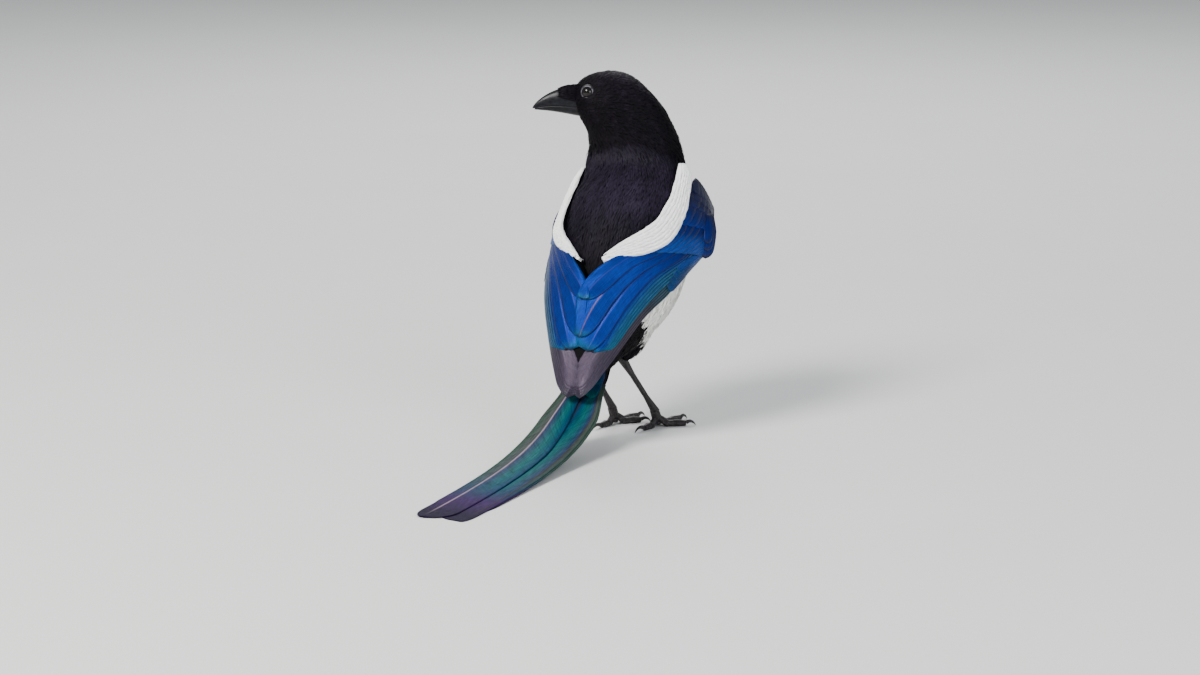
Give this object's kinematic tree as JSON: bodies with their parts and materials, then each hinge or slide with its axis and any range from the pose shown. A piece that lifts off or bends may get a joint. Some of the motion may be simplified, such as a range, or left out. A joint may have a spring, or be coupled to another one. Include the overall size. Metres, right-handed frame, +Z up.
{
  "type": "eurasian magpie",
  "caption": "Life-size still model of a standing magpie with its head turned left, its wings folded and its long tail laid on the ground.",
  "frame": {"origin": "on the ground, under the middle of the bird's box", "axes": "+Z up, +Y the way the bird's body faces, +X to its right; the tail runs back along -Y and the bill points to the bird's left and a little back"},
  "size_m": [0.1246, 0.3468, 0.2374],
  "materials": {
    "black_plumage": "black feathers with a faint purple-brown gloss",
    "white_plumage": "pure white feathers, matt",
    "blue_wing": "glossy royal-blue flight feathers and coverts, grey-purple at the tips",
    "green_tail": "glossy teal-green tail feathers, purple towards the end",
    "bill_horn": "blue-black horn, semi-gloss",
    "eye_dark": "very dark brown, wet gloss",
    "leg_scales": "black scaly skin, low gloss",
    "claw_horn": "black horn, semi-gloss"
  },
  "bodies": {
    "root": {"torso": "black_plumage", "belly": "white_plumage", "rump": "black_plumage", "neck": "black_plumage", "head": "black_plumage", "eye_left": "eye_dark", "eye_right": "eye_dark", "bill_upper": "bill_horn", "bill_lower": "bill_horn", "wing_left": "blue_wing", "wing_right": "blue_wing", "scapulars_left": "white_plumage", "scapulars_right": "white_plumage", "tail": "green_tail", "tail_middle": "green_tail", "tail_end": "green_tail", "thigh_left": "black_plumage", "thigh_right": "black_plumage", "tarsus_left": "leg_scales", "tarsus_right": "leg_scales", "foot_left": "leg_scales", "foot_right": "leg_scales", "claw_left_middle": "claw_horn", "claw_left_outer": "claw_horn", "claw_left_inner": "claw_horn", "claw_left_hind": "claw_horn", "claw_right_middle": "claw_horn", "claw_right_outer": "claw_horn", "claw_right_inner": "claw_horn", "claw_right_hind": "claw_horn"}
  },
  "joints": []
}
